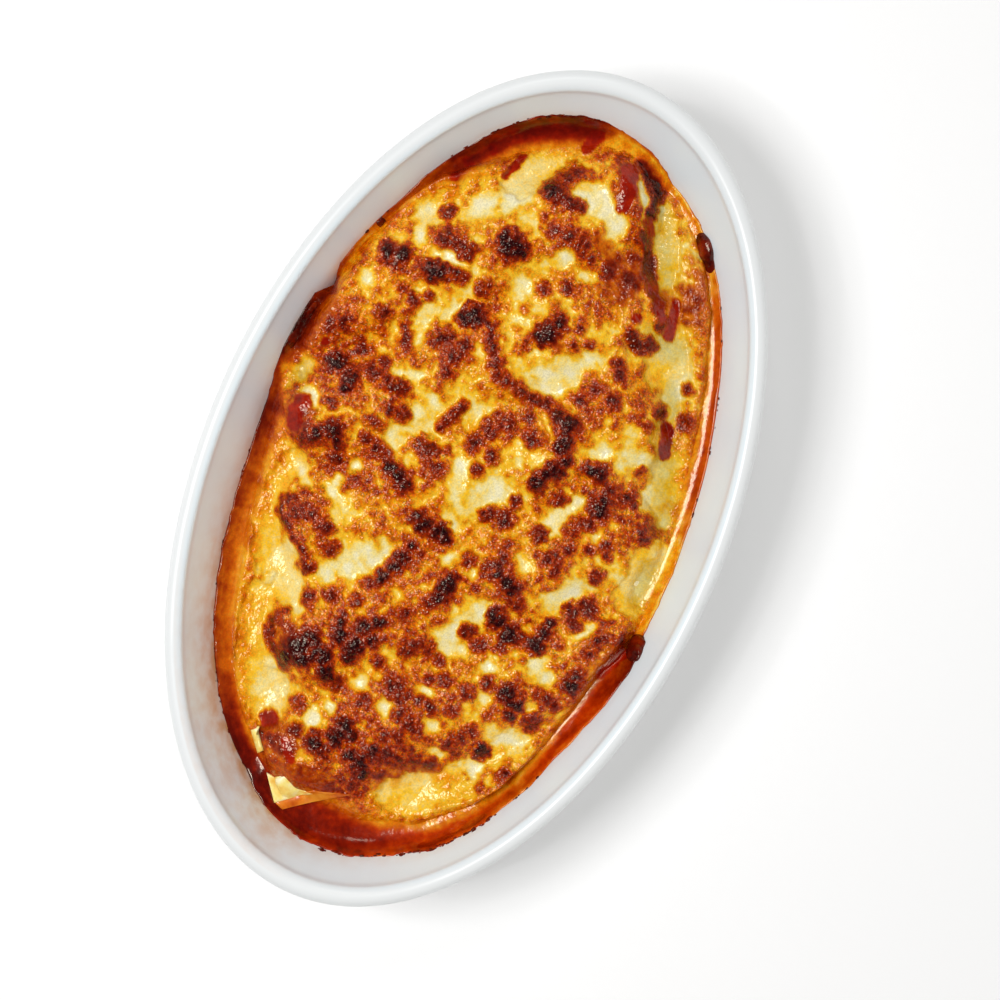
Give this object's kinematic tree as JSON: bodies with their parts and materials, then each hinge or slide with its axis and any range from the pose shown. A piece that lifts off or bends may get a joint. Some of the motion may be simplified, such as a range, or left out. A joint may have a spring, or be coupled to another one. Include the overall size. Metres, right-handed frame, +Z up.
{
  "type": "plate of baked cannelloni",
  "caption": "Oval gratin dish filled with baked pasta rolls in tomato sauce under a browned crust of melted cheese.",
  "frame": {"origin": "middle of the dish's foot ring, on the surface that the dish stands on", "axes": "+X along the dish's length, +Y across its width, +Z up"},
  "size_m": [0.26, 0.1564, 0.05],
  "materials": {
    "stoneware": "white glaze, glossy",
    "tomato_sauce": "wet and oily",
    "pasta": "moist, slightly glossy",
    "cheese_crust": "melted cheese, browned, oily"
  },
  "bodies": {
    "root": {"dish": "stoneware", "tomato_sauce": "tomato_sauce", "cannelloni_1": "pasta", "cannelloni_2": "pasta", "cannelloni_3": "pasta", "cannelloni_4": "pasta", "cannelloni_5": "pasta", "cheese_crust": "cheese_crust"}
  },
  "joints": []
}
